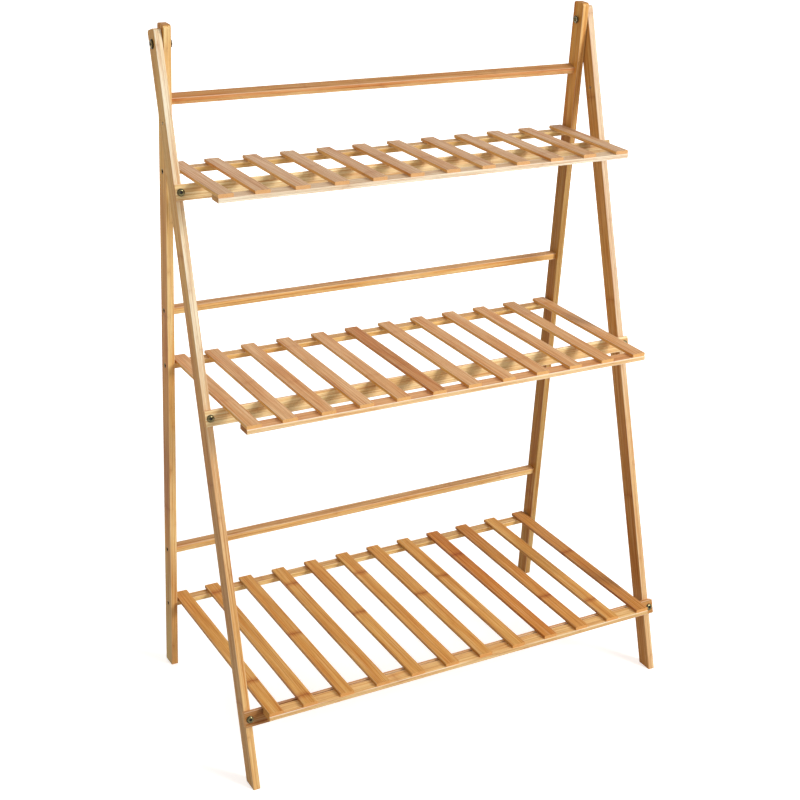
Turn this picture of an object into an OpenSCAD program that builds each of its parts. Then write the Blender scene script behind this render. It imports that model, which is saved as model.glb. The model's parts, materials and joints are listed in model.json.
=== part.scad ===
// Folding plant ladder stand with three slatted shelves.
// X runs across the stand, -Y is the front and Z is up. The origin is on the floor, under the
// middle. The front legs lean forward from two pivot bolts, and the shelves turn on the back legs.

/* [Stand] */
// Width over the ends of the crossbars
stand_w = 700; // [560:1:900]
// Height of the two pivot bolts above the floor
pivot_h = 968; // [950:1:1000]
// Lean of the front legs from upright, in degrees
front_lean = 17.6; // [15:0.1:19]
// Lean of the back legs from upright, in degrees
back_lean = 2; // [1:0.1:3]

/* [Legs] */
// Thickness of every leg, across the stand
leg_t = 10.5; // [10:0.5:16]
// Depth of every leg, front to back
leg_d = 24; // [23:0.5:30]
// Length of the front legs above the pivot
front_leg_top = 19; // [14:1:40]
// Length of the back legs above the pivot
back_leg_top = 26; // [14:1:40]
// Radius of the rounded corners of the leg tops
leg_top_r = 5; // [2:0.5:8]
// Gap between a front leg and the back leg beside it
leg_gap = 1; // [0.9:0.1:2]
// Radius of the tie hole in each front leg
tie_hole_r = 2.5; // [2:0.1:4]
// Part of the way down from the pivot bolts to the top shelf at which the tie holes are
tie_hole_share = 0.626; // [0.58:0.002:0.75]
// Rounding of the long edges of all the wood
edge_r = 0.8; // [0.4:0.1:1.2]

/* [Crossbars] */
// Height of a crossbar, along the legs
crossbar_h = 22; // [18:0.5:28]
// Thickness of a crossbar
crossbar_t = 8; // [6:0.5:10]
// Overhang of the crossbars past the front legs, each side
crossbar_overhang = 2; // [1:0.5:6]
// Gap between the slats and the crossbars that carry them
rest_gap = 0.3; // [0.2:0.1:0.5]

/* [Back rails] */
// Depth of the rails between the back legs
back_rail_d = 15; // [10:0.5:17]
// Height of the rails between the back legs
back_rail_h = 10; // [8:0.5:12]
// Distance of the back rails behind the front faces of the back legs
back_rail_setback = 6; // [5:0.5:7]
// Part of the way down from the pivot bolts to the top shelf at which the top back rail is
top_rail_share = 0.454; // [0.4:0.002:0.5]
// Turn of the top back rail about its screws, top forwards, in degrees
top_rail_turn = 17; // [0:1:20]
// Height of the middle back rail above the middle shelf
middle_rail_rise = 75; // [75:1:100]
// Height of the lower back rail above the bottom shelf
lower_rail_rise = 86; // [80:1:100]

/* [Shelves] */
// Height of the top shelf's upper face
top_shelf_h = 805; // [790:1:815]
// Height of the middle shelf's upper face
middle_shelf_h = 518; // [510:1:525]
// Height of the bottom shelf's upper face
bottom_shelf_h = 117; // [100:1:130]
// Distance of the top front strip in front of its crossbar
top_reach = 59; // [50:1:65]
// Distance of the middle front strip in front of its crossbar
middle_reach = 55; // [45:1:58]
// Gap between the bottom front strip and its crossbar, which it hooks over
bottom_reach = 0.8; // [0.5:0.1:2]
// Width of a slat
slat_w = 21.5; // [16:0.5:30]
// Thickness of a slat
slat_t = 5; // [4:0.5:6]
// Number of slats on a shelf
slat_count = 12; // [8:1:12]
// How much closer the two left slats stand than the others
left_step_cut = 5.8; // [0:0.1:12]
// How far the slats reach behind the axis that their shelf turns on
slat_tail = 11; // [9:0.5:11.5]
// Gap between the ends of a shelf and the back legs
shelf_side_gap = 3; // [1.5:0.5:6]
// How far the front strip stands in front of the slats
strip_lip = 1; // [0:0.5:3]
// Depth of the strip under the slats' front ends
strip_d = 22; // [14:1:24]
// Height of the strip under the slats' front ends
strip_h = 7; // [5:0.5:8]
// Depth of the rail under the slats' back ends
shelf_rail_d = 15; // [12:0.5:16]
// Height of the rail under the slats' back ends
shelf_rail_h = 8; // [7.5:0.5:9]
// Gap between the ends of a shelf rail and the back legs
hinge_gap = 0.4; // [0.2:0.1:0.8]

/* [Pivot bolts] */
// Radius of the pivot bolts
pivot_r = 3; // [2.5:0.1:3.5]
// Radius of the pivot bolts' domed heads
pivot_head_r = 6.5; // [5.5:0.1:8]
// Height of the pivot bolts' domed heads
pivot_head_h = 3; // [2.5:0.1:4]
// Width across the flats of the pivot nuts
nut_flats = 10; // [9:0.5:13]
// Height of the pivot nuts
nut_h = 4; // [3:0.1:6]
// Length of pivot bolt that shows past its nut
bolt_end = 1; // [0.5:0.1:3]
// Outer radius of the washers between the legs
washer_r = 7; // [5:0.1:9]
// Play at each face of a washer and under a pivot bolt's head
washer_play = 0.1; // [0.05:0.05:0.2]

/* [Screws] */
// Radius of the crossbar screws
crossbar_screw_r = 2.5; // [2:0.1:3]
// Radius of the crossbar screws' domed heads
crossbar_head_r = 5.2; // [4.5:0.1:6]
// Height of the crossbar screws' domed heads
crossbar_head_h = 2.5; // [2:0.1:3]
// Length of crossbar screw inside the leg
crossbar_screw_grip = 17; // [10:1:18]
// Radius of the screws in the back legs
leg_screw_r = 2; // [1.5:0.1:2.2]
// Radius of the heads of the screws in the back legs
leg_head_r = 3.6; // [3:0.1:3.8]
// Height of the heads of the screws in the back legs
leg_head_h = 2.4; // [1.8:0.1:3]
// Length of the screws in the back legs inside a rail
leg_screw_grip = 26; // [15:1:40]
// Depth of the sunk heads below the face of a back leg
head_sink = 0.3; // [0.2:0.1:1]
// Play under and round the sunk heads
head_play = 0.1; // [0.05:0.05:0.3]
// Play round a shank in its hole
bore_play = 0.05; // [0.03:0.01:0.1]
// Height of the straight side of a domed head
head_edge_h = 0.9; // [0.5:0.1:1.2]
// Width across the flats of the hexagon sockets
socket_flats = 4; // [3:0.1:4.5]
// Depth of the hexagon sockets
socket_depth = 1.5; // [1:0.1:1.6]
// Length of the screws' points
point_l = 3; // [2:0.5:5]

/* [Hidden] */
SHELVES = ["top", "middle", "bottom"];
BACK_RAILS = ["top_back_rail", "middle_back_rail", "lower_back_rail"];
SLATS = [for (i = [1 : slat_count]) i];
function slat_name(s, i) = str(SHELVES[s], "_slat_", i < 10 ? "0" : "", i);
$fn = 48;
left = -1;
right = 1;

// colours
pale_bamboo = [0.93, 0.80, 0.62];
rail_bamboo = [0.84, 0.66, 0.45];
slat_bamboo = [0.80, 0.59, 0.40];
grey_steel = [0.45, 0.46, 0.44];
brown_steel = [0.42, 0.34, 0.22];

// distances from the middle of the stand to the faces of the legs and the ends of the shelves
front_leg_out = stand_w / 2 - crossbar_overhang;
front_leg_x = front_leg_out - leg_t / 2;
back_leg_out = front_leg_out - leg_t - leg_gap;
back_leg_x = back_leg_out - leg_t / 2;
back_leg_in = back_leg_out - leg_t;
hinge_half = back_leg_in - hinge_gap;
shelf_half = back_leg_in - shelf_side_gap;

// one value for each shelf, from the top one down
shelf_h = [top_shelf_h, middle_shelf_h, bottom_shelf_h];
rail_rise = [middle_rail_rise, lower_rail_rise];
rail_turn = [top_rail_turn, 0, 0];
reach = [top_reach, middle_reach, bottom_reach];

// heights of the undersides of the slats and strips, and of the axes that the shelves turn on
function slat_z(s) = shelf_h[s] - slat_t;
function strip_z(s) = slat_z(s) - strip_h;
function hinge_z(s) = slat_z(s) - shelf_rail_h / 2;

// distances in front of the pivot bolts: a crossbar's front face at a height, and the strips
leg_half = leg_d / 2;
crossbar_front = leg_half + crossbar_t;
function crossbar_face(z) = (pivot_h - z) * tan(front_lean) + crossbar_front / cos(front_lean);
function strip_front(s) = crossbar_face(strip_z(s)) + reach[s] + strip_d;
front_foot = pivot_h * tan(front_lean) + leg_half / cos(front_lean);
back_foot = pivot_h * tan(back_lean) + leg_half / cos(back_lean);

// the origin is midway between the foremost point and the back feet
pivot_y = (max(front_foot, strip_front(2)) - back_foot) / 2;
function hinge_y(s) = pivot_y + (pivot_h - hinge_z(s)) * tan(back_lean);
function slat_front(s) = pivot_y - strip_front(s) + strip_lip;
function slat_back(s) = hinge_y(s) + slat_tail;

// distances down a leg from its pivot bolt
top_gap = pivot_h - top_shelf_h;
tie_hole_drop = top_gap * tie_hole_share;
top_rail_drop = top_gap * top_rail_share;
function low_rail_drop(s) = (pivot_h - shelf_h[s] - rail_rise[s - 1]) / cos(back_lean);
function rail_drop(s) = s == 0 ? top_rail_drop : low_rail_drop(s);
function hinge_drop(s) = (pivot_h - hinge_z(s)) / cos(back_lean);
crossbar_lift = crossbar_front * sin(front_lean) + rest_gap;
function crossbar_drop(s) = (pivot_h - slat_z(s) + crossbar_lift) / cos(front_lean) + crossbar_h / 2;

// the middle of the back rails, behind the middle of the back legs
back_rail_y = back_rail_setback + back_rail_d / 2 - leg_half;

// the slats keep one pitch from the right end, and the first one is flush with the left end
end_slat = shelf_half - slat_w / 2;
slat_pitch = (2 * end_slat + left_step_cut) / (slat_count - 1);
function slat_x(i) = i == 1 ? -end_slat : end_slat - (slat_count - i) * slat_pitch;

// fasteners, and what a cut runs past a face
washer_t = leg_gap - 2 * washer_play;
pivot_bore_r = pivot_r + bore_play;
pivot_shank = 2 * leg_t + leg_gap + nut_h + bolt_end;
crossbar_bore_r = crossbar_screw_r + bore_play;
leg_bore_r = leg_screw_r + bore_play;
pocket_r = leg_head_r + head_play;
pocket_depth = leg_head_h + head_sink + head_play;
nut_bevel = 1.7;
cut = 1;

// the quarter of a circle from a start angle on, as points
function corner(x, y, r, start, step) =
    [for (a = [start : step : start + 90]) [x + r * cos(a), y + r * sin(a)]];

// a rectangle about the origin with rounded corners
module eased(w, h) {
    x = w / 2 - edge_r;
    y = h / 2 - edge_r;
    polygon(concat(
        corner(x, y, edge_r, 0, 30),
        corner(-x, y, edge_r, 90, 30),
        corner(-x, -y, edge_r, 180, 30),
        corner(x, -y, edge_r, 270, 30)
    ));
}

// a bar of wood along X, about the origin
module bar(length, depth, height) {
    rotate([90, 0, 90])
        translate([0, 0, -length / 2])
            linear_extrude(length)
                eased(depth, height);
}

// a round cut inwards along X, from the end of a bar or the outer face of a leg
module side_cut(side, x, r, depth) {
    translate([side * (x + cut), 0, 0])
        rotate([0, -90 * side, 0])
            cylinder(r = r, h = depth + cut);
}

// a leg's own frame: its pivot at the origin and its foot towards -Z
module in_leg(lean) {
    translate([0, pivot_y, pivot_h])
        rotate([lean, 0, 0])
            children();
}

// a leg in its own frame, with its foot cut level and its top rounded
module leg_blank(lean, top) {
    function foot(y) = -(pivot_h + y * sin(lean)) / cos(lean);
    y = leg_half - leg_top_r;
    z = top - leg_top_r;
    intersection() {
        rotate([90, 0, 90])
            translate([0, 0, -leg_t / 2])
                linear_extrude(leg_t)
                    polygon(concat(
                        [[-leg_half, foot(-leg_half)], [leg_half, foot(leg_half)]],
                        corner(y, z, leg_top_r, 0, 10),
                        corner(-y, z, leg_top_r, 90, 10)
                    ));
        translate([0, 0, -2 * pivot_h])
            linear_extrude(3 * pivot_h)
                eased(leg_t, leg_d);
    }
}

module front_leg(side) {
    color(pale_bamboo)
        in_leg(-front_lean)
            translate([side * front_leg_x, 0, 0])
                difference() {
                    leg_blank(-front_lean, front_leg_top);
                    side_cut(right, leg_t / 2, pivot_bore_r, leg_t + cut);
                    translate([0, 0, -tie_hole_drop])
                        side_cut(right, leg_t / 2, tie_hole_r, leg_t + cut);
                    for (s = [0 : 2])
                        translate([0, -leg_half - cut, -crossbar_drop(s)])
                            rotate([-90, 0, 0])
                                cylinder(r = crossbar_bore_r, h = crossbar_screw_grip + 2 * cut);
                }
}

module back_leg(side) {
    color(rail_bamboo)
        in_leg(back_lean)
            translate([side * back_leg_x, 0, 0])
                difference() {
                    leg_blank(back_lean, back_leg_top);
                    side_cut(side, leg_t / 2, pivot_bore_r, leg_t + cut);
                    for (s = [0 : 2], place = [[back_rail_y, rail_drop(s)], [0, hinge_drop(s)]])
                        translate([0, place[0], -place[1]]) {
                            side_cut(side, leg_t / 2, leg_bore_r, leg_t + cut);
                            side_cut(side, leg_t / 2, pocket_r, pocket_depth);
                        }
                }
}

module back_rail(s) {
    color(rail_bamboo)
        in_leg(back_lean)
            translate([0, back_rail_y, -rail_drop(s)])
                difference() {
                    rotate([rail_turn[s], 0, 0])
                        bar(2 * back_leg_in, back_rail_d, back_rail_h);
                    for (side = [left, right])
                        side_cut(side, back_leg_in, leg_bore_r, leg_screw_grip + cut);
                }
}

module crossbar(s) {
    color(pale_bamboo)
        in_leg(-front_lean)
            translate([0, -crossbar_front, -crossbar_drop(s)])
                difference() {
                    translate([0, crossbar_t / 2, 0])
                        bar(stand_w, crossbar_t, crossbar_h);
                    for (side = [left, right])
                        translate([side * front_leg_x, -cut, 0])
                            rotate([-90, 0, 0])
                                cylinder(r = crossbar_bore_r, h = crossbar_t + 2 * cut);
                }
}

module shelf_rail(s) {
    color(rail_bamboo)
        translate([0, hinge_y(s), hinge_z(s)])
            difference() {
                bar(2 * hinge_half, shelf_rail_d, shelf_rail_h);
                for (side = [left, right])
                    side_cut(side, hinge_half, leg_bore_r, leg_screw_grip + cut);
            }
}

module front_strip(s) {
    color(pale_bamboo)
        translate([0, pivot_y - strip_front(s) + strip_d / 2, strip_z(s) + strip_h / 2])
            bar(2 * shelf_half, strip_d, strip_h);
}

module slat(s, i) {
    color(slat_bamboo)
        translate([slat_x(i), (slat_front(s) + slat_back(s)) / 2, slat_z(s) + slat_t / 2])
            rotate([0, 0, 90])
                bar(slat_back(s) - slat_front(s), slat_w, slat_t);
}

// the hexagon socket of a head whose top is at a height
module socket(top) {
    translate([0, 0, top - socket_depth])
        cylinder(r = socket_flats / 2 / cos(30), h = socket_depth + cut, $fn = 6);
}

// a fastener with a domed head, its seat at the origin and its shank towards -Z
module domed_fastener(head_r, head_h, shank_r, shank_l) {
    rise = head_h - head_edge_h;
    dome_r = (head_r * head_r + rise * rise) / (2 * rise);
    rings = 5;
    difference() {
        rotate_extrude()
            polygon(concat(
                [[0, -shank_l], [shank_r, -shank_l], [shank_r, 0], [head_r, 0]],
                [for (k = [0 : rings - 1])
                    let (x = head_r * cos(k * 90 / rings))
                        [x, head_h - dome_r + sqrt(dome_r * dome_r - x * x)]],
                [[0, head_h]]
            ));
        socket(head_h);
    }
}

// a screw in the outer face of a back leg, into the end of a rail whose half length is given
module leg_screw(side, half) {
    seat = back_leg_out - pocket_depth + head_play;
    shank_l = seat - half + leg_screw_grip;
    translate([side * seat, 0, 0])
        rotate([0, side * 90, 0])
            difference() {
                rotate_extrude()
                    polygon([
                        [0, leg_head_h], [leg_head_r, leg_head_h], [leg_head_r, 0], [leg_screw_r, 0],
                        [leg_screw_r, point_l - shank_l], [0, -shank_l]
                    ]);
                socket(leg_head_h);
            }
}

module shelf_screws(s) {
    color(brown_steel)
        translate([0, hinge_y(s), hinge_z(s)])
            for (side = [left, right])
                leg_screw(side, hinge_half);
}

module back_rail_screws() {
    color(brown_steel)
        in_leg(back_lean)
            for (s = [0 : 2], side = [left, right])
                translate([0, back_rail_y, -rail_drop(s)])
                    leg_screw(side, back_leg_in);
}

module crossbar_screws() {
    color(grey_steel)
        in_leg(-front_lean)
            for (s = [0 : 2], side = [left, right])
                translate([side * front_leg_x, -crossbar_front, -crossbar_drop(s)])
                    rotate([90, 0, 0])
                        domed_fastener(
                            crossbar_head_r, crossbar_head_h,
                            crossbar_screw_r, crossbar_t + crossbar_screw_grip
                        );
}

module pivot_bolts() {
    color(brown_steel)
        for (side = [left, right])
            translate([side * (front_leg_out + washer_play), pivot_y, pivot_h])
                rotate([0, side * 90, 0])
                    domed_fastener(pivot_head_r, pivot_head_h, pivot_r, pivot_shank + washer_play);
}

module pivot_nuts() {
    color(brown_steel)
        for (side = [left, right])
            translate([side * back_leg_in, pivot_y, pivot_h])
                rotate([0, -90 * side, 0])
                    difference() {
                        intersection() {
                            cylinder(r = nut_flats / 2 / cos(30), h = nut_h, $fn = 6);
                            cylinder(r1 = nut_flats / 2 + nut_bevel * nut_h, r2 = nut_flats / 2, h = nut_h);
                        }
                        translate([0, 0, -cut])
                            cylinder(r = pivot_bore_r, h = nut_h + 2 * cut);
                    }
}

module pivot_washers() {
    color(grey_steel)
        for (side = [left, right])
            translate([side * (back_leg_out + washer_play), pivot_y, pivot_h])
                rotate([0, side * 90, 0])
                    difference() {
                        cylinder(r = washer_r, h = washer_t);
                        translate([0, 0, -cut])
                            cylinder(r = pivot_bore_r, h = washer_t + 2 * cut);
                    }
}

front_leg(left);  // front_leg_left
front_leg(right);  // front_leg_right
back_leg(left);  // back_leg_left
back_leg(right);  // back_leg_right
for (s = [0 : 2]) {
    back_rail(s);
    crossbar(s);
    shelf_rail(s);
    front_strip(s);
    shelf_screws(s);
    for (i = SLATS)
        slat(s, i);
}
back_rail_screws();
crossbar_screws();
pivot_bolts();
pivot_nuts();
pivot_washers();
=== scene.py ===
import json
import math

import bpy
from mathutils import Matrix, Vector


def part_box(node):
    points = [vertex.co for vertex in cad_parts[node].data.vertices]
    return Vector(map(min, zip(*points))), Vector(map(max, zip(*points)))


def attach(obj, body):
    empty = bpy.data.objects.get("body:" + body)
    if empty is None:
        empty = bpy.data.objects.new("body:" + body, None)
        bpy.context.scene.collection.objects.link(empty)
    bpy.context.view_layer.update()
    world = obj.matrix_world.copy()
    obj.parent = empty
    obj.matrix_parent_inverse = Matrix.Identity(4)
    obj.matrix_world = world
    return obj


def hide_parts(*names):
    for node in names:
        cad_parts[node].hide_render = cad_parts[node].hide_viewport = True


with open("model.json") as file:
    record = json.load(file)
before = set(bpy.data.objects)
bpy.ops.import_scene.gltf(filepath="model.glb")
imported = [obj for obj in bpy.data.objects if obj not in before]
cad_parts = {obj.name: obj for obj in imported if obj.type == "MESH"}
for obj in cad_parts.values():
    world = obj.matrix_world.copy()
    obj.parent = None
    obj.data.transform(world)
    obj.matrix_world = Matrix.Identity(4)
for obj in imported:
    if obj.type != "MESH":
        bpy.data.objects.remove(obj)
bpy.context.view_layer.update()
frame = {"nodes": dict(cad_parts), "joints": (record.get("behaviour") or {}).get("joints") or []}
nodes = frame["nodes"]
hinges = {joint["name"]: Vector(joint["pos_m"]) for joint in frame["joints"]}
pivot = hinges["front_frame_fold"]
shelfNames = ("top", "middle", "bottom")
backRails = ("top_back_rail", "middle_back_rail", "lower_back_rail")
sides = (-1, 1)
millimetre = 0.001
quarter = math.pi / 2
print("frame loaded with", len(nodes), "nodes")


def tone(code):
    # a colour written as in a picture, turned into the linear one that shaders use
    parts = [int(code[i:i + 2], 16) / 255 for i in (1, 3, 5)]
    return (*[c / 12.92 if c <= 0.04045 else ((c + 0.055) / 1.055) ** 2.4 for c in parts], 1.0)


class Wire:
    # an output socket that Python's operators work on
    def __init__(self, bench, socket):
        self.bench = bench
        self.socket = socket

    def pick(self, name):
        return Wire(self.bench, self.socket.node.outputs[name])

    def math(self, operation, *values):
        return self.bench.add("ShaderNodeMath", {"operation": operation}, values)

    def __add__(self, other):
        return self.math("ADD", self, other)

    def __radd__(self, other):
        return self.math("ADD", other, self)

    def __sub__(self, other):
        return self.math("SUBTRACT", self, other)

    def __rsub__(self, other):
        return self.math("SUBTRACT", other, self)

    def __mul__(self, other):
        return self.math("MULTIPLY", self, other)

    def __rmul__(self, other):
        return self.math("MULTIPLY", other, self)

    def __truediv__(self, other):
        return self.math("DIVIDE", self, other)

    def __rtruediv__(self, other):
        return self.math("DIVIDE", other, self)

    def __gt__(self, other):
        return self.math("GREATER_THAN", self, other)

    def __lt__(self, other):
        return self.math("LESS_THAN", self, other)

    def __abs__(self):
        return self.math("ABSOLUTE", self)


class Bench:
    # the node tree of one material, world or modifier
    def __init__(self, tree):
        self.tree = tree
        tree.nodes.clear()

    def add(self, kind, settings=None, values=(), output=0):
        # values go to the input sockets by name or number, a list to a socket that takes several
        node = self.tree.nodes.new(kind)
        for name, value in (settings or {}).items():
            setattr(node, name, value)
        for key, value in values.items() if isinstance(values, dict) else enumerate(values):
            for part in value if isinstance(value, list) else [value]:
                if isinstance(part, Wire):
                    self.tree.links.new(part.socket, node.inputs[key])
                else:
                    node.inputs[key].default_value = part
        return Wire(self, node.outputs[output]) if node.outputs else node

    def smooth(self, value, low, high):
        # 0 below low, 1 above high, the other way round where high is the smaller
        flip = low > high
        made = self.add("ShaderNodeMapRange", {"interpolation_type": "SMOOTHSTEP"}, {
            "Value": value, "From Min": min(low, high), "From Max": max(low, high),
        })
        return 1 - made if flip else made

    def blend(self, factor, first, second, mode="MIX"):
        # a mix of colours has its factor in socket 0, its colours in 6 and 7, its result in 2
        settings = {"data_type": "RGBA", "blend_type": mode, "clamp_factor": True}
        return self.add("ShaderNodeMix", settings, {0: factor, 6: first, 7: second}, output=2)

    def stretched(self, source, scale, shift=(0, 0, 0)):
        return self.add("ShaderNodeMapping", {}, {
            "Vector": source, "Location": shift, "Scale": scale,
        })

    def noise(self, source, detail, rough):
        return self.add("ShaderNodeTexNoise", {}, {
            "Vector": source, "Scale": 1.0, "Detail": detail, "Roughness": rough,
        })


def newMaterial(name):
    material = bpy.data.materials.new(name)
    material.use_nodes = True
    return material, Bench(material.node_tree)


# camera at the photograph's viewpoint: lens and sensor in millimetres, place in metres
view = {
    "lens": 67.92, "sensor": 36, "clipEnd": 100, "place": (-1.0393, -1.7495, 1.3334),
    "pan": -29.881, "tilt": -23.360, "roll": 2.2625,
}
camera = bpy.data.objects.new("camera", bpy.data.cameras.new("camera"))
bpy.context.scene.collection.objects.link(camera)
camera.data.lens = view["lens"]
camera.data.sensor_width = view["sensor"]
camera.data.clip_end = view["clipEnd"]
camera.matrix_world = (
    Matrix.Translation(view["place"])
    @ Matrix.Rotation(math.radians(view["pan"]), 4, "Z")
    @ Matrix.Rotation(math.radians(90 + view["tilt"]), 4, "X")
    @ Matrix.Rotation(math.radians(view["roll"]), 4, "Z")
)
bpy.context.scene.camera = camera
bpy.context.scene.view_settings.view_transform = "Standard"
print("camera set")

# soft lamps round the stand: place, what each looks at, size in metres and power in watts
studio = {
    "key": {"place": (2.55, -3.3, 2.7), "aim": (0, 0, 0.6), "size": 1.95, "power": 175},
    "fill": {"place": (-3.4, -1.6, 2.2), "aim": (0, 0, 0.5), "size": 2.6, "power": 15},
    "back": {"place": (0.6, 3.4, 2.4), "aim": (0, 0, 0.5), "size": 2.6, "power": 33},
    "top": {"place": (0, -0.2, 3.6), "aim": (0, 0, 0), "size": 2.0, "power": 7},
}
for lampName, lamp in studio.items():
    light = bpy.data.lights.new(lampName, "AREA")
    light.shape = "DISK"
    light.size = lamp["size"]
    light.energy = lamp["power"]
    holder = bpy.data.objects.new(lampName, light)
    bpy.context.scene.collection.objects.link(holder)
    holder.location = lamp["place"]
    aim = Vector(lamp["aim"]) - Vector(lamp["place"])
    holder.rotation_mode = "QUATERNION"
    holder.rotation_quaternion = aim.to_track_quat("-Z", "Y")
    holder.visible_glossy = lampName != "back"  # its mirror image would bleach the slats' tops


def seenDirectly(bench):
    # 1 where the camera, a reflection or a pane of glass sees the surface, 0 for bounced light
    rays = bench.add("ShaderNodeLightPath")
    others = rays.pick("Is Glossy Ray") + rays.pick("Is Transmission Ray")
    return rays.math("MINIMUM", rays + others, 1.0)


surroundings = {"seen": (1, 1, 1, 1), "ambient": tone("#FAF8F4"), "ambientStrength": 0.38}
world = bpy.data.worlds.new("studio")
bpy.context.scene.world = world
world.use_nodes = True
bench = Bench(world.node_tree)
shown = bench.add("ShaderNodeBackground", {}, [surroundings["seen"], 1.0])
ambient = bench.add("ShaderNodeBackground", {}, [
    surroundings["ambient"], surroundings["ambientStrength"],
])
mixed = bench.add("ShaderNodeMixShader", {}, [seenDirectly(bench), ambient, shown])
bench.add("ShaderNodeOutputWorld", {}, [mixed])

# floor: white to the camera with a faint shadow, a plain pale surface to bounced light
ground = {
    "half": 25.0, "pale": tone("#D8D6D2"), "shadowed": tone("#F4F3F2"),
    "glowNear": (0.55, 0.55, 0.55, 1), "glowFar": (1.1, 1.1, 1.1, 1),
    "nearRadius": 0.8, "farRadius": 2.6,
}
floorMesh = bpy.data.meshes.new("studio_floor")
corners = [(x * ground["half"], y * ground["half"], 0)
           for x, y in ((-1, -1), (1, -1), (1, 1), (-1, 1))]
floorMesh.from_pydata(corners, [], [(0, 1, 2, 3)])
floor = bpy.data.objects.new("studio_floor", floorMesh)
bpy.context.scene.collection.objects.link(floor)
floorMaterial, bench = newMaterial("studio_floor")
spot = bench.add("ShaderNodeTexCoord", output="Object")
distance = bench.add("ShaderNodeVectorMath", {"operation": "LENGTH"}, [spot], output="Value")
away = bench.smooth(distance, ground["nearRadius"], ground["farRadius"])
glow = bench.blend(away, ground["glowNear"], ground["glowFar"])
lit = bench.add("ShaderNodeAddShader", {}, [
    bench.add("ShaderNodeEmission", {}, [glow, 1.0]),
    bench.add("ShaderNodeBsdfDiffuse", {}, [ground["shadowed"]]),
])
bounced = bench.add("ShaderNodeBsdfDiffuse", {}, [ground["pale"]])
mixed = bench.add("ShaderNodeMixShader", {}, [seenDirectly(bench), bounced, lit])
bench.add("ShaderNodeOutputMaterial", {}, [mixed])
floorMesh.materials.append(floorMaterial)
print("studio lit")

# The wood is bamboo laid up in layers. Each piece has its own frame in its material: X along the
# fibres, Y across the wider face and Z through the thinner one.
bamboo = {
    # grain of each noise: its length and width in metres, its detail and roughness
    "grains": {
        "band": (0.16, 0.0036, 3.0, 0.6), "streak": (0.11, 0.0016, 4.0, 0.55),
        "fine": (0.05, 0.0006, 2.0, 0.55), "drift": (0.22, 1 / 60, 2.0, 0.55),
        "wobble": (1 / 9, 1 / 110, 2.0, 0.55),
    },
    "bundleScale": (70, 760, 760),
    # what sets the noises of pieces and the tones of layers apart
    "shiftStep": (3.17, 1.73, 2.39), "lotStart": 0.31, "lotStep": 13.7, "lotRow": 7,
    # nodes, glue lines and edges in metres, the glue's end in shares of a layer
    "nodeSpacing": 0.31, "nodeWidth": 0.0022, "nodeHalo": 0.011, "nodeWobble": 0.0032,
    "glueSpan": (0.00032, 0.00008), "glueEnd": 0.3, "edgeWidth": 0.0013, "edgeHard": 0.0002,
    # where each mask begins and where it is full
    "spans": {
        "end": (0.7, 0.9), "narrow": (0.55, 0.85), "band": (0.36, 0.64), "dark": (0.42, 0.74),
        "light": (0.5, 0.26), "fine": (0.45, 0.75), "drift": (0.4, 0.66), "fleck": (0.28, 0.12),
        "edgeWearAndHighlight": (0.3, 0.55),
    },
    # how strongly masks tint, and how much less the bands do on the narrow faces
    "shares": {
        "dark": 0.75, "light": 0.2, "fine": 0.55, "fleck": 0.22, "glue": 0.5, "halo": 0.7,
        "node": 0.45, "bundle": 0.6, "narrowLess": 0.35,
    },
    "deep": tone("#DDAA78"), "pale": tone("#FFEFD2"), "warm": tone("#F1D9B8"),
    "layer": tone("#EBD3AE"), "band": tone("#DCC9AE"), "fleck": tone("#B57A48"),
    "node": tone("#A5683A"), "halo": tone("#C98B52"), "glue": tone("#B07438"),
    "paleWearAndHighlight": tone("#FFF0DA"), "bundle": tone("#8A4B22"),
    "roughness": 0.5, "rougher": {"streak": 0.12, "end": 0.16, "edgeWearAndHighlight": 0.08},
    "relief": {"streak": 0.5, "fine": 0.25, "node": 0.9, "fleck": 0.7, "glue": 0.5},
    "bumpStrength": 0.55, "bumpHeight": 0.0002,
    "gloss": 0.12, "lacquer": 0.03, "lacquerRoughness": 0.3,
}
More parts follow.
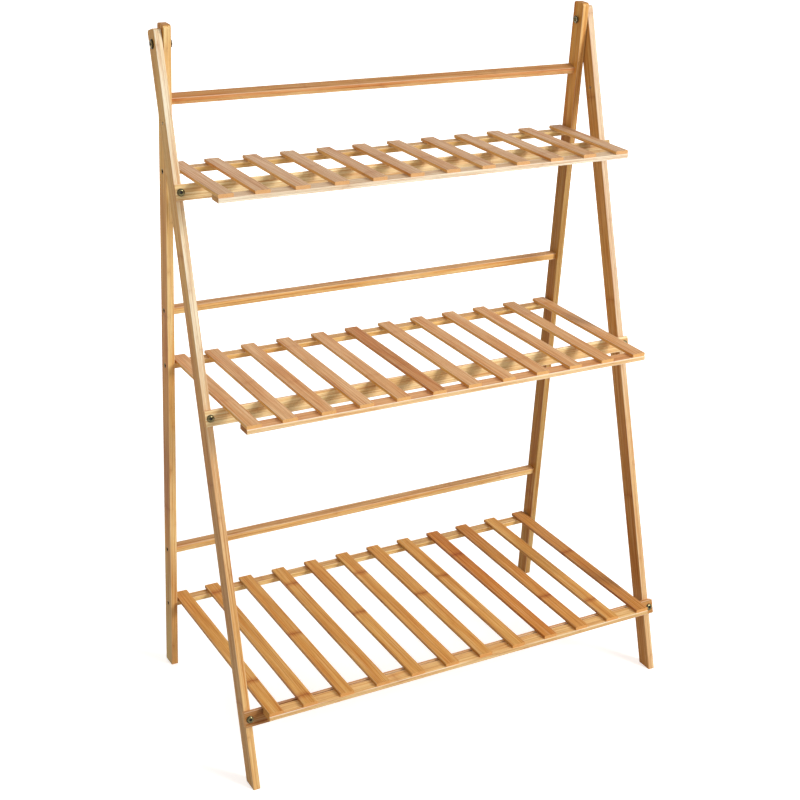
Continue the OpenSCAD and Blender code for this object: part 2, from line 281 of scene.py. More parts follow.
# kinds of piece: the colours of their wider, narrower and end faces, half their width and
# thickness in millimetres, the layers across both, how strongly nodes, the layers' own tones,
# drift, bands and the pale edges (wear and painted highlight) show, and a tint for the upper
# layer's edge
plainWood = {
    "layers": (1, 2), "nodes": 0.3, "layerTone": 0.3, "drift": 0.6, "bands": 0.6, "edgeWearAndHighlight": 0.35,
}
woods = {
    "frontLeg": {"wide": "#F0C877", "narrow": "#FFFBE4", "end": "#C4935C", "half": (12, 5.25),
                 "nodes": 0.35, "edgeWearAndHighlight": 0.2},
    "backLeg": {"wide": "#F8CB70", "narrow": "#FFE7AA", "end": "#B98550", "half": (12, 5.25),
                "nodes": 0.35, "drift": 0.9, "bands": 0.7, "edgeWearAndHighlight": 0.2},
    "backRail": {"wide": "#DDB681", "narrow": "#F8DFA2", "end": "#B98550", "half": (7.5, 5),
                 "upper": "#FFF2E4", "layerTone": 0.25, "bands": 0.85},
    "topRail": {"wide": "#CB9C63", "narrow": "#F2CD92", "end": "#B98550", "half": (7.5, 5),
                "upper": "#FBE2D6", "layerTone": 0.2, "bands": 0.8},
    "crossbar": {"wide": "#FFEFBE", "narrow": "#FFDAA8", "end": "#D9A468", "half": (11, 4),
                 "layers": (3, 1), "layerTone": 0.4},
    # the bottom crossbar: the crossbar's bamboo darkened by painted shade, where the bottom strip
    # and slats shade it
    "lowCrossbar": {"wide": "#D2A66A", "narrow": "#F6CE9A", "end": "#D9A468", "half": (11, 4),
                    "layers": (3, 1), "layerTone": 0.4, "bands": 0.85},
    "shelfRail": {"wide": "#EFCE96", "narrow": "#FFE19B", "end": "#B98550", "half": (7.5, 4),
                  "layerTone": 0.4, "drift": 0.4, "bands": 0.8},
    # the strips and slats of the three shelves are one bamboo; the top shelf's paler, greyer tones
    # are partly painted sheen, as its surfaces are seen at the flattest angle
    "topStrip": {"wide": "#E8D5B8", "narrow": "#FBF4E0", "end": "#CF9C64", "half": (11, 3.5),
                 "drift": 0.35, "edgeWearAndHighlight": 1.0},
    "middleStrip": {"wide": "#EDBD8A", "narrow": "#FBE2B2", "end": "#A9703C", "half": (11, 3.5),
                    "layerTone": 0.5, "drift": 0.35, "edgeWearAndHighlight": 1.0},
    "bottomStrip": {"wide": "#FBD797", "narrow": "#EFD29A", "end": "#C9924F", "half": (11, 3.5),
                    "layerTone": 0.5, "drift": 0.35, "edgeWearAndHighlight": 1.0},
    "topSlat": {"wide": "#DBBA95", "narrow": "#F6C87C", "end": "#E0AC75", "half": (10.75, 2.5),
                "layers": (1, 1), "nodes": 0.25, "layerTone": 0.0, "bands": 0.5},
    "middleSlat": {"wide": "#EAC08E", "narrow": "#F2C06A", "end": "#E6B070", "half": (10.75, 2.5),
                   "layers": (1, 1), "nodes": 0.2, "layerTone": 0.0, "bands": 0.5},
    "bottomSlat": {"wide": "#E5B264", "narrow": "#CD9A4B", "end": "#DEA05C", "half": (10.75, 2.5),
                   "layers": (1, 1), "nodes": 0.8, "layerTone": 0.0, "bands": 0.5, "edgeWearAndHighlight": 0.15},
}
# painted shade: darker lengths of single pieces, where shade falls on the legs and the crossbars'
# ends:
# place, half length and softness along the piece in millimetres, from a leg's pivot or a bar's
# middle, and the wide and narrow faces' tints
paintedShadePatches = {
    "front_leg_left": [(-540, 150, 150, "#F0E0CE", "#F0E0CE"),
                       (-1000, 450, 300, "#DCDAE4", "#F0CE9C")],
    "front_leg_right": [(-820, 300, 160, "#E8E4E8", "#F8E6C6")],
    "back_leg_left": [(-430, 150, 150, "#E2CAB2", "#FFFFFF"),
                      (-650, 90, 70, "#D0BEBE", "#FCF0E6"),
                      (-950, 180, 60, "#DCEAFF", "#F0E4DE")],
    "back_leg_right": [(-620, 450, 40, "#CECCC0", "#CECCC0")],
    "top_crossbar": [(340, 170, 160, "#DCD4CC", "#DCD4CC")],
    "bottom_crossbar": [(-290, 50, 50, "#D3C4BC", "#D3C4BC")],
}
# the tie hole of a front leg, in millimetres: its place along the leg from the pivot, the reach
# of its wall from the axis and below the faces, and the colour painted on its wall on each side:
# a pale painted highlight on the left leg, near-black painted shade on the right
tieHolePaint = {
    "place": -107.05, "radius": 2.8, "inset": 0.2,
    "front_leg_left": "#FFF6E8", "front_leg_right": "#140A05",
}


def bambooMaterial(name, kind, centre, turn, seed, nodePlace=None, tintOrShade=None, holeLightOrShade=None):
    wood = {**plainWood, **woods[kind]}
    span, share = bamboo["spans"], bamboo["shares"]
    rougher, relief = bamboo["rougher"], bamboo["relief"]
    halfWide, halfThick = [half * millimetre for half in wood["half"]]
    material, bench = newMaterial(name + "_bamboo")
    source = bench.add("ShaderNodeTexCoord", output="Object")
    ownFrame = {"vector_type": "TEXTURE"}
    local = bench.add("ShaderNodeMapping", ownFrame, {
        "Vector": source, "Location": centre, "Rotation": turn,
    })
    facing = bench.add("ShaderNodeMapping", ownFrame, {
        "Vector": source.pick("Normal"), "Rotation": turn,
    })
    spot = bench.add("ShaderNodeSeparateXYZ", {}, [local])
    along, wide, thick = spot, spot.pick("Y"), spot.pick("Z")
    normal = bench.add("ShaderNodeSeparateXYZ", {}, [facing])
    endFace = bench.smooth(abs(normal), *span["end"])
    narrowFace = bench.smooth(abs(normal.pick("Y")), *span["narrow"])

    # fibres: broad bands, long streaks, finer ones among them and a slow drift of tone
    shift = tuple(seed * step for step in bamboo["shiftStep"])
    grain = {}
    for label, (length, width, detail, rough) in bamboo["grains"].items():
        scale = (1 / length, 1 / width, 1 / width)
        grain[label] = bench.noise(bench.stretched(local, scale, shift), detail, rough)
    streak, fine, drift = grain["streak"], grain["fine"], grain["drift"]

    # layers across the piece, each with its own tone and a glue line between them
    wideLayers, thickLayers = wood["layers"]
    wideSpot = (wide / (2 * halfWide) + 0.5) * wideLayers
    thickSpot = (thick / (2 * halfThick) + 0.5) * thickLayers
    cell = wideSpot.math("FLOOR", wideSpot) + bamboo["lotRow"] * thickSpot.math("FLOOR", thickSpot)
    lot = cell + (seed * bamboo["lotStep"] + bamboo["lotStart"])
    luck = bench.add("ShaderNodeTexWhiteNoise", {"noise_dimensions": "1D"}, {"W": lot})
    glue = 0.0
    for where, count, half in (
        (wideSpot, wideLayers, halfWide), (thickSpot, thickLayers, halfThick),
    ):
        if count > 1:
            gap = abs(where.math("WRAP", where, 0.5, -0.5)) * (2 * half / count)
            within = abs(where - count / 2) < count / 2 - bamboo["glueEnd"]
            glue = glue + bench.smooth(gap, *bamboo["glueSpan"]) * within

    # nodes: a dark line across the fibres with a soft edge, at its own place in each layer
    wobble = (grain["wobble"] - 0.5) * (2 * bamboo["nodeWobble"])
    start = luck if nodePlace is None else -nodePlace * millimetre / bamboo["nodeSpacing"]
    nodeSpot = (along + wobble) / bamboo["nodeSpacing"] + start
    gap = abs(nodeSpot.math("WRAP", nodeSpot, 0.5, -0.5)) * bamboo["nodeSpacing"]
    nodeLine = bench.smooth(gap, bamboo["nodeWidth"], 0.0)
    nodeHalo = bench.smooth(gap, bamboo["nodeHalo"], 0.0)

    # short dark dashes of the bundles in the wood, dots at the ends
    bundles = bench.add("ShaderNodeTexVoronoi", {"distance": "EUCLIDEAN"}, {
        "Vector": bench.stretched(local, bamboo["bundleScale"], shift),
        "Scale": 1.0, "Randomness": 1.0,
    }, output="Distance")
    fleck = bench.smooth(bundles, *span["fleck"])

    # edges paler, partly wear and partly a painted highlight, more in some places than in others
    edgeWearAndHighlight = bench.smooth(drift, *span["edgeWearAndHighlight"])
    for where, half in ((wide, halfWide), (thick, halfThick)):
        edgeWearAndHighlight = edgeWearAndHighlight * bench.smooth(
            abs(where), half - bamboo["edgeWidth"], half - bamboo["edgeHard"])

    # tints, each laid over those before it: its mask, its colour and how it is laid
    def faceTone(wideTone, narrowTone):
        return bench.blend(narrowFace, tone(wideTone), tone(narrowTone))

    bandShare = wood["bands"] * (1 - share["narrowLess"] * narrowFace)
    tints = []
    # a tint over the whole piece, painted shade on the right back leg
    if tintOrShade:
        tints.append((1.0, tone(tintOrShade), "MULTIPLY"))
    if "upper" in wood:
        tints.append(((thickSpot > 1.0) * narrowFace, tone(wood["upper"]), "MULTIPLY"))
    # painted shade over the lengths listed for this piece
    for place, half, soft, wideTone, narrowTone in paintedShadePatches.get(name, ()):
        near = bench.smooth(
            abs(along - place * millimetre), (half + soft) * millimetre, (half - soft) * millimetre)
        tints.append((near, faceTone(wideTone, narrowTone), "MULTIPLY"))
    tints += [
        (luck * wood["layerTone"], bamboo["layer"], "MULTIPLY"),
        (bench.smooth(grain["band"], *span["band"]) * bandShare, bamboo["band"], "MULTIPLY"),
        (bench.smooth(streak, *span["dark"]) * share["dark"], bamboo["deep"], "MULTIPLY"),
        (bench.smooth(streak, *span["light"]) * share["light"], bamboo["pale"], "MIX"),
        (bench.smooth(fine, *span["fine"]) * share["fine"], bamboo["deep"], "MULTIPLY"),
        (bench.smooth(drift, *span["drift"]) * wood["drift"], bamboo["warm"], "MULTIPLY"),
        (fleck * (1 - endFace) * share["fleck"], bamboo["fleck"], "MULTIPLY"),
        (glue * share["glue"], bamboo["glue"], "MULTIPLY"),
        (nodeHalo * (wood["nodes"] * share["halo"]), bamboo["halo"], "MULTIPLY"),
        (nodeLine * (wood["nodes"] * share["node"]), bamboo["node"], "MULTIPLY"),
        (edgeWearAndHighlight * wood["edgeWearAndHighlight"], bamboo["paleWearAndHighlight"], "MIX"),
    ]
    colour = faceTone(wood["wide"], wood["narrow"])
    for mask, tint, mode in tints:
        colour = bench.blend(mask, colour, tint, mode)
    endMask = fleck * share["bundle"]
    endColour = bench.blend(endMask, tone(wood["end"]), bamboo["bundle"], "MULTIPLY")
    colour = bench.blend(endFace, colour, endColour)
    # the tie hole's wall painted pale as a highlight on the left leg, near black as shade on the
    # right
    if holeLightOrShade:
        offset = along - tieHolePaint["place"] * millimetre
        fromAxis = along.math("SQRT", offset * offset + wide * wide)
        inside = fromAxis < tieHolePaint["radius"] * millimetre
        inside = inside * (abs(thick) < halfThick - tieHolePaint["inset"] * millimetre)
        colour = bench.blend(inside, colour, tone(holeLightOrShade))

    roughness = (
        bamboo["roughness"] + rougher["streak"] * (streak - 0.5)
        + rougher["end"] * endFace + rougher["edgeWearAndHighlight"] * edgeWearAndHighlight
    )
    height = (
        relief["streak"] * streak + relief["fine"] * fine
        + relief["node"] * nodeHalo * wood["nodes"]
        - relief["fleck"] * fleck - relief["glue"] * glue
    )
    bump = bench.add("ShaderNodeBump", {}, {
        "Strength": bamboo["bumpStrength"], "Distance": bamboo["bumpHeight"], "Height": height,
    })
    skin = bench.add("ShaderNodeBsdfPrincipled", {}, {
        "Base Color": colour, "Roughness": roughness, "Normal": bump,
        "Specular IOR Level": bamboo["gloss"],
        "Coat Weight": bamboo["lacquer"], "Coat Roughness": bamboo["lacquerRoughness"],
    })
    bench.add("ShaderNodeOutputMaterial", {}, [skin])
    return material


def paint(node, material):
    slots = nodes[node].data.materials
    if not slots:
        slots.append(material)
    for i in range(len(slots)):
        slots[i] = material


def middle(node):
    low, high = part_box(node)
    return (low + high) / 2


# how the legs lean, and how much further than the back legs the top back rail is turned
lean = {"front": math.radians(-17.6), "back": math.radians(2), "topRail": math.radians(17)}


def turned(*steps):
    turn = Matrix.Identity(3)
    for angle, axis in steps:
        turn = turn @ Matrix.Rotation(angle, 3, axis)
    return turn


# each piece of wood: its kind, the middle of its frame and how the frame is turned
upright = (-quarter, "Y")
woodPieces = []
for sideName in ("left", "right"):
    for end in ("front", "back"):
        node = f"{end}_leg_{sideName}"
        centre = Vector((middle(node).x, pivot.y, pivot.z))
        woodPieces.append((node, end + "Leg", centre, turned((lean[end], "X"), upright)))
for node in backRails:
    isTop = node == "top_back_rail"
    tip = lean["back"] + (lean["topRail"] if isTop else 0)
    kind = "topRail" if isTop else "backRail"
    woodPieces.append((node, kind, middle(node), turned((tip, "X"))))
for shelf in shelfNames:
    node = shelf + "_crossbar"
    # the bottom crossbar takes the copy darkened by painted shade
    kind = "lowCrossbar" if shelf == "bottom" else "crossbar"
    woodPieces.append((node, kind, middle(node), turned((lean["front"], "X"), (quarter, "X"))))
    node = shelf + "_shelf_rail"
    woodPieces.append((node, "shelfRail", middle(node), turned()))
    node = shelf + "_front_strip"
    woodPieces.append((node, shelf + "Strip", middle(node), turned()))
    for node in sorted(nodes):
        if node.startswith(shelf + "_slat_"):
            woodPieces.append((node, shelf + "Slat", middle(node), turned((quarter, "Z"))))

# where a node line crosses some slats, in millimetres behind their middle
nodePlaces = {
    "bottom_slat_03": -9, "bottom_slat_05": 3, "bottom_slat_07": 11, "bottom_slat_10": -80,
    "bottom_slat_12": 23,
}
# pieces that are darker or of another tint than the rest of their kind; the right back leg's
# darkening is painted shade, where the right front leg keeps the light off it
tintsAndShade = {
    "top_shelf_rail": "#F1F5FA", "back_leg_right": "#F7E9D8", "front_leg_right": "#F0E4DE",
    "middle_slat_06": "#E4CDB2", "bottom_slat_09": "#F2D8BC", "bottom_slat_10": "#F6EAE0",
    "bottom_slat_12": "#EADAD0",
}
for seed, (node, kind, centre, turn) in enumerate(woodPieces, 1):
    paint(node, bambooMaterial(node, kind, centre, turn.to_euler("XYZ"), seed,
                               nodePlaces.get(node), tintsAndShade.get(node), tieHolePaint.get(node)))
print("bamboo on", len(woodPieces), "pieces")

# metals: plated steel, with painted shade inside the sockets and round the rims, turning marks and
# small stains
metals = {
    "grey": {"plain": "#827A56", "dull": "#453D2A", "hollow": "#17120A", "roughness": 0.22},
    "bronze": {"plain": "#857246", "dull": "#241B10", "hollow": "#120D07", "roughness": 0.2},
    # the nut's paler plating stands in for the glint on its face, a painted highlight
    "nut": {"plain": "#C9BD95", "dull": "#2A2115", "hollow": "#120D07", "roughness": 0.22},
}
plating = {
    "mottleScale": (900, 900, 900), "mottleDetail": 4.0, "mottleRough": 0.6,
    "mottleSpan": (0.36, 0.6), "scratchScale": (300, 5200, 2600), "scratchDetail": 2.0,
    "scratchRough": 0.55, "rimShare": 0.85, "hollowLess": 0.6,
    "rougher": {"mottle": 0.25, "scratch": 0.12, "hollow": 0.2},
    "relief": 0.6, "bumpStrength": 0.4, "bumpHeight": 0.00005,
}


def metalMaterial(name):
    metal, rougher = metals[name], plating["rougher"]
    material, bench = newMaterial(name + "_steel_plate")
    spot = bench.add("ShaderNodeTexCoord", output="Object")
    hollow = bench.add("ShaderNodeAttribute", {"attribute_name": "hollow"}, output="Fac")
    rim = bench.add("ShaderNodeAttribute", {"attribute_name": "rim"}, output="Fac")
    mottle, scratch = [bench.noise(
        bench.stretched(spot, plating[label + "Scale"]),
        plating[label + "Detail"], plating[label + "Rough"],
    ) for label in ("mottle", "scratch")]
    stained = bench.smooth(mottle, *plating["mottleSpan"])
    colour = bench.blend(stained, tone(metal["plain"]), tone(metal["dull"]))
    # painted shade round the rims and inside the sockets
    colour = bench.blend(plating["rimShare"] * rim, colour, tone(metal["dull"]))
    colour = bench.blend(hollow, colour, tone(metal["hollow"]))
    roughness = (
        metal["roughness"] + rougher["mottle"] * (mottle - 0.5)
        + rougher["scratch"] * scratch + rougher["hollow"] * hollow
    )
    bump = bench.add("ShaderNodeBump", {}, {
        "Strength": plating["bumpStrength"], "Distance": plating["bumpHeight"],
        "Height": plating["relief"] * scratch + plating["relief"] * mottle,
    })
    skin = bench.add("ShaderNodeBsdfPrincipled", {}, {
        "Base Color": colour, "Metallic": 1.0 - plating["hollowLess"] * hollow,
        "Roughness": roughness, "Normal": bump,
    })
    bench.add("ShaderNodeOutputMaterial", {}, [skin])
    return material


greySteel, bronzeSteel, nutSteel = [metalMaterial(name) for name in metals]
paint("pivot_washers", greySteel)


def newTree(name, labels):
    # a geometry tree whose sizes are named inputs, with its group input on the bench
    tree = bpy.data.node_groups.new(name, "GeometryNodeTree")
    bench = Bench(tree)
    tree.interface.new_socket("Seats", in_out="INPUT", socket_type="NodeSocketGeometry")
    for label in labels:
        tree.interface.new_socket(label, in_out="INPUT", socket_type="NodeSocketFloat")
    tree.interface.new_socket("Finish", in_out="INPUT", socket_type="NodeSocketMaterial")
    tree.interface.new_socket("Geometry", in_out="OUTPUT", socket_type="NodeSocketGeometry")
    return tree, bench, bench.add("NodeGroupInput")


def moved(bench, mesh, offset):
    return bench.add("GeometryNodeTransform", {}, {"Geometry": mesh, "Translation": offset})


def column(bench, x=0.0, y=0.0, z=0.0):
    return bench.add("ShaderNodeCombineXYZ", {}, [x, y, z])


def carve(bench, first, second, operation="DIFFERENCE"):
    # only a difference tells its two meshes apart
    values = {0: first, 1: second} if operation == "DIFFERENCE" else {1: [first, second]}
    settings = {"operation": operation, "solver": "EXACT"}
    return bench.add("GeometryNodeMeshBoolean", settings, values)


def blank(bench, sizes, kind="GeometryNodeMeshCylinder", fill="NGON"):
    return bench.add(kind, {"fill_type": fill}, sizes, output="Mesh")


def marked(bench, mesh, label, value):
    settings = {"data_type": "FLOAT", "domain": "POINT"}
    return bench.add("GeometryNodeStoreNamedAttribute", settings, {
        "Geometry": mesh, "Name": label, "Value": value,
    })


def cornerRadius(flats):
    # of a hexagon, from the width across its flats
    return flats / (2 * math.cos(math.radians(30)))


def putOnSeats(bench, source, shape, crease):
    # a copy of the shape on every seat, turned to the seat's axis, made real and given its finish
    axis = bench.add("GeometryNodeInputNamedAttribute", {"data_type": "FLOAT_VECTOR"}, {
        "Name": "axis",
    })
    spin = bench.add("GeometryNodeInputNamedAttribute", {"data_type": "FLOAT"}, {"Name": "spin"})
    aimed = bench.add("FunctionNodeAlignRotationToVector", {"axis": "Z"}, {"Vector": axis})
    local = bench.add("FunctionNodeAxisAngleToRotation", {}, {"Axis": (0, 0, 1), "Angle": spin})
    rotation = bench.add("FunctionNodeRotateRotation", {"rotation_space": "LOCAL"}, [aimed, local])
    copies = bench.add("GeometryNodeInstanceOnPoints", {}, {
        "Points": source.pick("Seats"), "Instance": shape, "Rotation": rotation,
    })
    real = bench.add("GeometryNodeRealizeInstances", {}, [copies])
    soft = bench.add("GeometryNodeSetShadeSmooth", {"domain": "FACE"}, {
        "Geometry": real, "Shade Smooth": True,
    })
    bend = bench.add("GeometryNodeInputMeshEdgeAngle", output="Unsigned Angle")
    edged = bench.add("GeometryNodeSetShadeSmooth", {"domain": "EDGE"}, {
        "Geometry": soft, "Selection": bend > math.radians(crease), "Shade Smooth": False,
    })
    done = bench.add("GeometryNodeSetMaterial", {}, {
        "Geometry": edged, "Material": source.pick("Finish"),
    })
    bench.add("NodeGroupOutput", {}, [done])


screwSizes = (
    "Head Radius", "Head Height", "Head Edge", "Shank Radius", "Shank Length", "Point Length",
    "Socket Flats", "Socket Depth", "Thread Pitch", "Thread Length", "Thread Depth",
)
# what all screws share: how finely they are cut, how far the shank reaches into the head, the
# tip's share of the radius, the socket's chamfered mouth, and where the painted shade of the hollow
# and rim is marked
screwForm = {
    "headSides": 48, "headRings": 9, "shankSides": 24, "shankRings": 14, "socketSides": 6,
    "mouthSides": 36, "turnSides": 18, "ridgeSides": 4, "tiny": 1e-7, "overlap": 0.0001,
    "tipShare": 0.12, "mouthTop": 0.66, "mouthBottom": 0.46, "mouthDepth": 0.0008,
    "mouthSink": 0.0005, "hollowReach": 0.62, "hollowSpan": (0.18, 0.75),
    "rimSpan": (0.7, 0.96), "rimDrop": 0.0002, "crease": 35,
}


def screwTree():
    # a domed screw with a hexagon socket: its seat at the origin, its shank towards -Z
    tree, bench, source = newTree("hex_socket_screw", screwSizes)
    size = {label: source.pick(label) for label in screwSizes}
    form = screwForm
    spot = bench.add("ShaderNodeSeparateXYZ", {}, [bench.add("GeometryNodeInputPosition")])
    x, y, z = spot, spot.pick("Y"), spot.pick("Z")
    radius = spot.math("SQRT", x * x + y * y)

    disc = blank(bench, {
        "Vertices": form["headSides"], "Side Segments": 1, "Fill Segments": form["headRings"],
        "Radius": size["Head Radius"], "Depth": size["Head Height"],
    }, fill="TRIANGLE_FAN")
    upper = z > 0.0
    sweep = radius / size["Head Radius"] * quarter
    reach = size["Head Radius"] * sweep.math("SINE", sweep)
    outward = reach / radius.math("MAXIMUM", radius, form["tiny"])
    dome = (size["Head Height"] - size["Head Edge"]) * sweep.math("COSINE", sweep)
    crown = size["Head Edge"] + dome
    widen = 1 + upper * (outward - 1)
    head = bench.add("GeometryNodeSetPosition", {}, {
        "Geometry": disc, "Position": column(bench, x * widen, y * widen, upper * crown),
    })

    rod = blank(bench, {
        "Vertices": form["shankSides"], "Side Segments": form["shankRings"],
        "Radius": size["Shank Radius"], "Depth": size["Shank Length"],
    })
    rod = moved(bench, rod, column(bench, z=form["overlap"] - size["Shank Length"] / 2))
    fromTip = (z + size["Shank Length"]) / size["Point Length"]
    tip = fromTip.math("MINIMUM", fromTip.math("MAXIMUM", fromTip, form["tipShare"]), 1.0)
    threaded = (z + size["Shank Length"]) < size["Thread Length"]
    thin = tip * (1 - threaded * (size["Thread Depth"] / size["Shank Radius"]))
    rod = bench.add("GeometryNodeSetPosition", {}, {
        "Geometry": rod, "Position": column(bench, x * thin, y * thin, z),
    })
    body = carve(bench, head, rod, "UNION")

    socket = blank(bench, {
        "Vertices": form["socketSides"], "Radius": cornerRadius(size["Socket Flats"]),
        "Depth": size["Socket Depth"] * 2,
    })
    body = carve(bench, body, moved(bench, socket, column(bench, z=size["Head Height"])))
    mouth = blank(bench, {
        "Vertices": form["mouthSides"], "Depth": form["mouthDepth"],
        "Radius Top": size["Socket Flats"] * form["mouthTop"],
        "Radius Bottom": size["Socket Flats"] * form["mouthBottom"],
    }, "GeometryNodeMeshCone")
    mouth = moved(bench, mouth, column(bench, z=size["Head Height"] - form["mouthSink"]))
    body = carve(bench, body, mouth)

    core = size["Shank Radius"] - size["Thread Depth"]
    climb = size["Thread Length"] - size["Point Length"]
    helix = bench.add("GeometryNodeCurveSpiral", {}, {
        "Resolution": form["turnSides"], "Rotations": climb / size["Thread Pitch"],
        "Start Radius": core, "End Radius": core, "Height": climb,
    })
    helix = moved(bench, helix, column(bench, z=size["Point Length"] - size["Shank Length"]))
    helix = bench.add("GeometryNodeSetCurveNormal", {"mode": "Z_UP"}, {"Curve": helix})
    ridge = bench.add("GeometryNodeCurvePrimitiveCircle", {"mode": "RADIUS"}, {
        "Resolution": form["ridgeSides"], "Radius": size["Thread Depth"],
    })
    thread = bench.add("GeometryNodeCurveToMesh", {}, {
        "Curve": helix, "Profile Curve": ridge, "Fill Caps": True,
    })
    whole = bench.add("GeometryNodeJoinGeometry", {}, {0: [body, thread]})
    # painted shade: darker deeper in the socket and towards the head's rim
    depth = (size["Head Height"] - z) / size["Socket Depth"]
    inside = (radius < size["Socket Flats"] * form["hollowReach"]) * (z > 0.0)
    whole = marked(bench, whole, "hollow", bench.smooth(depth * inside, *form["hollowSpan"]))
    rim = bench.smooth(radius / size["Head Radius"], *form["rimSpan"]) * (z > -form["rimDrop"])
    whole = marked(bench, whole, "rim", rim)
    putOnSeats(bench, source, whole, form["crease"])
    return tree


nutSizes = ("Flats", "Height", "Bore Radius", "Chamfer")
# what all nuts share: how finely they are cut, where the chamfer's cone meets a face and how it
# widens, the bore's countersink in chamfers, and where the rim's painted shade is marked
nutForm = {
    "sides": 6, "coneSides": 48, "boreSides": 32, "faceShare": 0.48, "flare": 1.7,
    "sinkOut": 2, "sinkDepth": 3, "rimSpan": (0.36, 0.46), "crease": 25,
}


def nutTree():
    # a hexagon nut with both faces chamfered: its seat at the origin, its outer face towards +Z
    tree, bench, source = newTree("hex_nut", nutSizes)
    size = {label: source.pick(label) for label in nutSizes}
    form = nutForm
    block = blank(bench, {
        "Vertices": form["sides"], "Radius": cornerRadius(size["Flats"]), "Depth": size["Height"],
    })
    near = size["Flats"] * form["faceShare"]
    far = near + size["Height"] * form["flare"]
    for top, bottom in ((near, far), (far, near)):
        cone = blank(bench, {
            "Vertices": form["coneSides"], "Depth": size["Height"],
            "Radius Top": top, "Radius Bottom": bottom,
        }, "GeometryNodeMeshCone")
        block = carve(bench, block, cone, "INTERSECT")
    bore = blank(bench, {
        "Vertices": form["boreSides"], "Radius": size["Bore Radius"], "Depth": size["Height"] * 2,
    })
    block = carve(bench, block, bore)
    sink = blank(bench, {
        "Vertices": form["boreSides"], "Depth": size["Chamfer"] * form["sinkDepth"],
        "Radius Top": size["Bore Radius"] + size["Chamfer"] * form["sinkOut"],
        "Radius Bottom": size["Bore Radius"] - size["Chamfer"],
    }, "GeometryNodeMeshCone")
    half = size["Height"] / 2
    block = carve(bench, block, moved(bench, sink, column(bench, z=half)))
    block = moved(bench, block, column(bench, z=half))
    spot = bench.add("ShaderNodeSeparateXYZ", {}, [bench.add("GeometryNodeInputPosition")])
    radius = spot.math("SQRT", spot * spot + spot.pick("Y") * spot.pick("Y"))
    # painted shade towards the nut's outer corners
    rim = bench.smooth(radius / size["Flats"], *form["rimSpan"])
    putOnSeats(bench, source, marked(bench, block, "rim", rim), form["crease"])
    return tree


def grow(name, tree, seats, sizes, finish, body, replaced):
    # runs a tree on its seats and keeps the result as one plain mesh that rides on a body
    seatMesh = bpy.data.meshes.new(name + "_seats")
    seatMesh.from_pydata([point for point, axis, spin in seats], [], [])
    seatMesh.attributes.new("axis", "FLOAT_VECTOR", "POINT").data.foreach_set(
        "vector", [value for point, axis, spin in seats for value in axis])
    seatMesh.attributes.new("spin", "FLOAT", "POINT").data.foreach_set(
        "value", [spin for point, axis, spin in seats])
    builder = bpy.data.objects.new(name + "_builder", seatMesh)
    bpy.context.scene.collection.objects.link(builder)
    modifier = builder.modifiers.new("build", "NODES")
    modifier.node_group = tree
    for item in tree.interface.items_tree:
        if item.in_out == "INPUT" and item.name in sizes:
            modifier[item.identifier] = sizes[item.name] * millimetre
        elif item.in_out == "INPUT" and item.name == "Finish":
            modifier[item.identifier] = finish
    evaluated = builder.evaluated_get(bpy.context.evaluated_depsgraph_get())
    mesh = bpy.data.meshes.new_from_object(evaluated)
    mesh.name = name
    bpy.data.objects.remove(builder)
    piece = bpy.data.objects.new(name, mesh)
    bpy.context.scene.collection.objects.link(piece)
    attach(piece, body)
    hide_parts(replaced)
    print(name, "has", len(mesh.polygons), "faces")


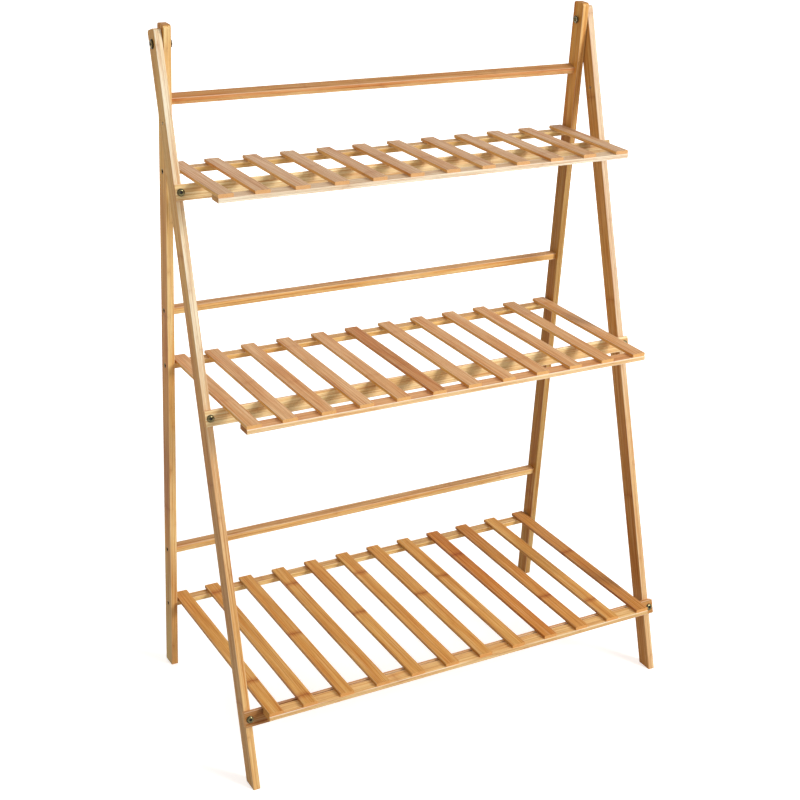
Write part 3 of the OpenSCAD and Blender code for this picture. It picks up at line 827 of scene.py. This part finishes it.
# fasteners, in millimetres, beginning with how far from the stand's middle they sit
spread = {"frontLeg": 342.75, "pivotHead": 348.1, "pivotNut": 326.0, "legScrew": 333.8}
crossbarScrew = {
    "Head Radius": 5.2, "Head Height": 2.5, "Head Edge": 0.7, "Shank Radius": 2.5,
    "Shank Length": 25, "Point Length": 3, "Socket Flats": 4, "Socket Depth": 1.5,
    "Thread Pitch": 1.8, "Thread Length": 17, "Thread Depth": 0.45,
}
legScrew = {
    "Head Radius": 3.6, "Head Height": 2.4, "Head Edge": 2.1, "Shank Radius": 2,
    "Shank Length": 33, "Point Length": 3, "Socket Flats": 4, "Socket Depth": 1.5,
    "Thread Pitch": 1.6, "Thread Length": 26, "Thread Depth": 0.4,
}
pivotBolt = {
    "Head Radius": 6.5, "Head Height": 2.9, "Head Edge": 0.8, "Shank Radius": 3,
    "Shank Length": 27.1, "Point Length": 0.6, "Socket Flats": 4, "Socket Depth": 1.5,
    "Thread Pitch": 1, "Thread Length": 8, "Thread Depth": 0.3,
}
pivotNut = {"Flats": 10, "Height": 4, "Bore Radius": 3.05, "Chamfer": 0.35}
# how far the sockets are turned, in radians, at the front and across the stand
spins = {"front": 0.3, "frontShelf": 0.37, "frontSide": 0.5, "across": 0.4, "acrossSide": 0.9}
screw, nut = screwTree(), nutTree()


def acrossStand(y, z, distance, outward=True):
    # one seat on each side of the stand, its axis pointing away from the middle or towards it
    return [(
        Vector((side * distance * millimetre, y, z)), (side if outward else -side, 0, 0),
        spins["across"] + spins["acrossSide"] * side,
    ) for side in sides]


frontTurn = Matrix.Rotation(lean["front"], 3, "X")
frontAxis = frontTurn @ Vector((0, -1, 0))
crossbarHalf = woods["crossbar"]["half"][1]
seats = []
for i, shelf in enumerate(shelfNames):
    for side in sides:
        offset = Vector((side * spread["frontLeg"], -crossbarHalf, 0)) * millimetre
        spin = spins["front"] + spins["frontShelf"] * i + spins["frontSide"] * side
        seats.append((middle(shelf + "_crossbar") + frontTurn @ offset, frontAxis, spin))
grow("crossbar_screw_set", screw, seats, crossbarScrew,
     greySteel, "front_frame", "crossbar_screws")

seats = []
for node in backRails:
    rail = middle(node)
    seats += acrossStand(rail.y, rail.z, spread["legScrew"])
grow("back_rail_screw_set", screw, seats, legScrew,
     bronzeSteel, "back_frame", "back_rail_screws")

for shelf in shelfNames:
    hinge = hinges[shelf + "_shelf_lift"]
    seats = acrossStand(hinge.y, hinge.z, spread["legScrew"])
    grow(shelf + "_shelf_screw_set", screw, seats, legScrew,
         bronzeSteel, shelf + "_shelf", shelf + "_shelf_screws")

seats = acrossStand(pivot.y, pivot.z, spread["pivotHead"])
grow("pivot_bolt_set", screw, seats, pivotBolt,
     bronzeSteel, "back_frame", "pivot_bolts")
seats = acrossStand(pivot.y, pivot.z, spread["pivotNut"], outward=False)
grow("pivot_nut_set", nut, seats, pivotNut,
     nutSteel, "back_frame", "pivot_nuts")

bpy.context.view_layer.update()
